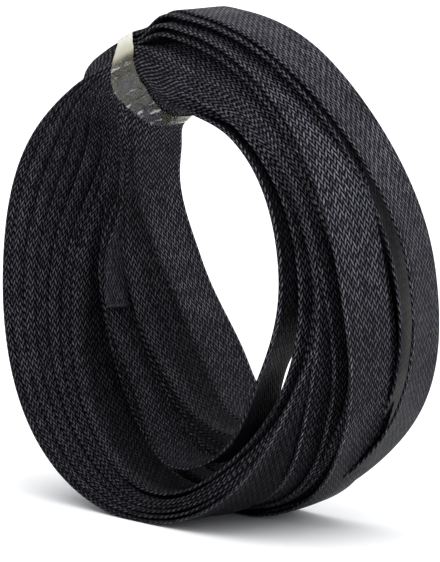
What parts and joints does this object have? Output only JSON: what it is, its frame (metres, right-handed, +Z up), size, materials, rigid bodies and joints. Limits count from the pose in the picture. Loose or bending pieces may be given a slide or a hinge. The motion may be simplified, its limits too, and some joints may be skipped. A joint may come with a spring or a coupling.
{
  "type": "braided cable sleeve coil",
  "caption": "Coil of flat black braided cable sleeve, standing on its rim, gathered to a waist by a clear film tie.",
  "frame": {"origin": "on the floor under the middle of the bounding box", "axes": "+Z up; the coil's axis runs along Y with its near end facing -Y; the tie is near the top, a little towards -X"},
  "size_m": [0.245, 0.09, 0.2447],
  "materials": {
    "black_braid": "black plastic monofilament braid, satin",
    "clear_film": "clear wrinkled adhesive film, glossy"
  },
  "bodies": {
    "root": {"braided_sleeve_coil": "black_braid", "film_tie": "clear_film"}
  },
  "joints": []
}
